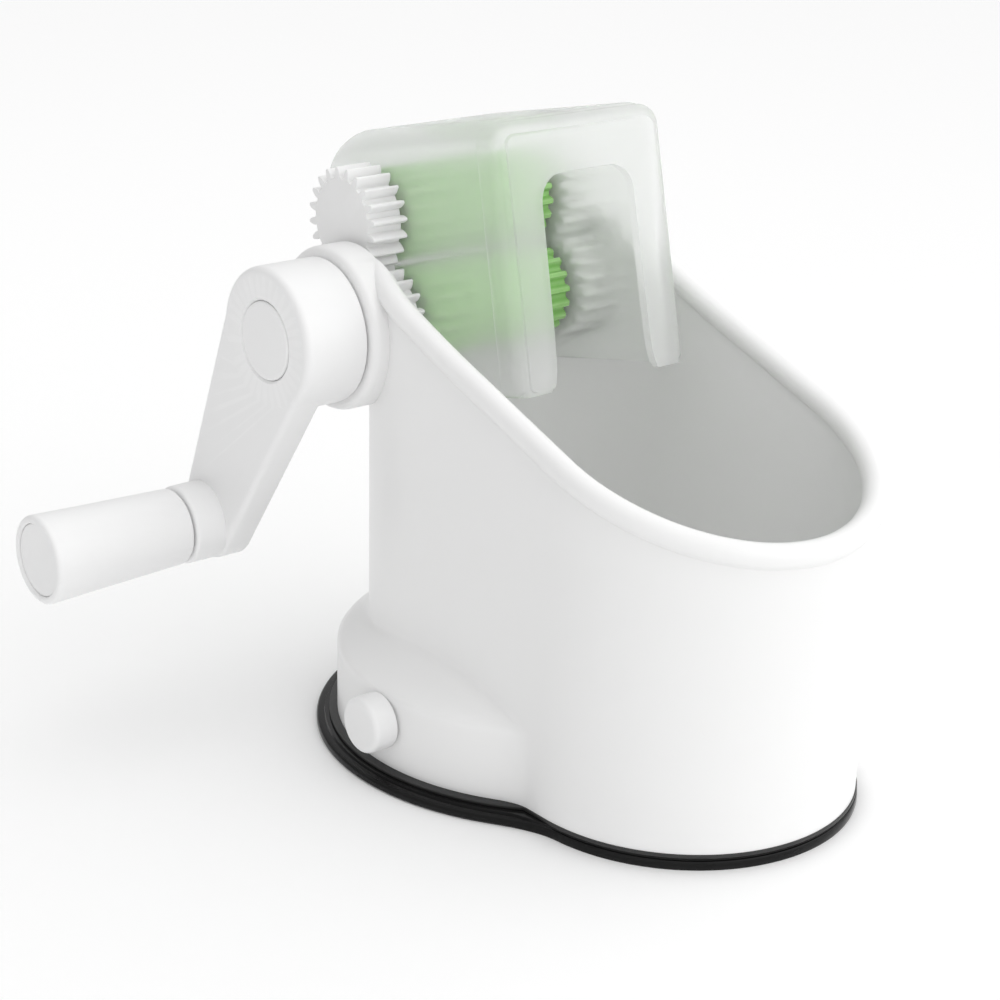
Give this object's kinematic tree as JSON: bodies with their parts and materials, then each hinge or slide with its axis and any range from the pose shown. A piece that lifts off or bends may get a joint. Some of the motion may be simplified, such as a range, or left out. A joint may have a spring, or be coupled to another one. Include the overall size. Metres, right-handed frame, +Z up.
{
  "type": "rotary cheese grater",
  "caption": "Crank-driven roller grater: ridged rollers under a frosted hood over a tall sloped collecting cup on a round suction base.",
  "frame": {"origin": "centre of the round suction base, on the surface that the object stands on", "axes": "+X along the crank axis away from the crank, -Y towards the low rounded front of the cup, +Z up"},
  "size_m": [0.155, 0.1482, 0.14],
  "materials": {
    "body_white": "glossy moulded white plastic",
    "crank_white": "satin moulded white plastic",
    "gear_white": "smooth white acetal",
    "bush": "smooth ivory acetal",
    "hood_frost": "frosted translucent plastic",
    "roller_green": "glossy moulded green plastic",
    "black_plastic": "black moulded plastic",
    "foot_rubber": "smooth black rubber",
    "pad_rubber": "soft black rubber",
    "steel": "bright turned steel"
  },
  "bodies": {
    "base": {"cup_body": "body_white", "base_plate": "black_plastic", "foot_ring": "foot_rubber", "base_screws": "steel", "left_bush": "bush", "right_bush": "bush", "hood": "hood_frost", "upper_left_bush": "bush", "upper_right_bush": "bush", "plunger_spring": "steel"},
    "crank": {"crank_arm": "crank_white", "crank_screw": "steel", "hub_cap": "crank_white", "grip_spindle": "steel", "grip_washer": "steel", "drive_shaft": "steel", "lower_roller": "roller_green", "left_drive_gear": "gear_white", "right_drive_gear": "gear_white", "shaft_clip": "steel"},
    "upper_rollers": {"upper_axle": "steel", "upper_roller": "roller_green", "left_driven_gear": "gear_white", "right_driven_gear": "gear_white"},
    "grip": {"grip": "crank_white", "grip_cap": "crank_white"},
    "suction_lever": {"cam_shaft": "crank_white", "suction_cam": "gear_white", "suction_lever": "crank_white", "lever_screw": "steel"},
    "suction_pad": {"suction_pad": "pad_rubber", "pad_plunger": "gear_white"}
  },
  "joints": [
    {"name": "crank_spin", "type": "hinge", "parent": "base", "child": "crank", "pos_m": [0, 0.0316, 0.0923], "axis": [1, 0, 0], "continuous": true},
    {"name": "upper_roller_spin", "type": "hinge", "parent": "base", "child": "upper_rollers", "pos_m": [0, 0.0384, 0.11322], "axis": [1, 0, 0], "continuous": true},
    {"name": "grip_spin", "type": "hinge", "parent": "crank", "child": "grip", "pos_m": [-0.08, 0.05719, 0.04418], "axis": [1, 0, 0], "continuous": true},
    {"name": "suction_lever_turn", "type": "hinge", "parent": "base", "child": "suction_lever", "pos_m": [0, 0, 0.0137], "axis": [1, 0, 0], "range_deg": [0, 90]},
    {"name": "suction_pad_lift", "type": "slide", "parent": "base", "child": "suction_pad", "axis": [0, 0, 1], "range_m": [0, 0.0016], "deforming": ["plunger_spring"]}
  ],
  "couplings": [
    {"joint": "upper_roller_spin", "follows": "crank_spin", "ratio": -1},
    {"joint": "suction_pad_lift", "follows": "suction_lever_turn", "m_per_rad": 0.0010186}
  ]
}
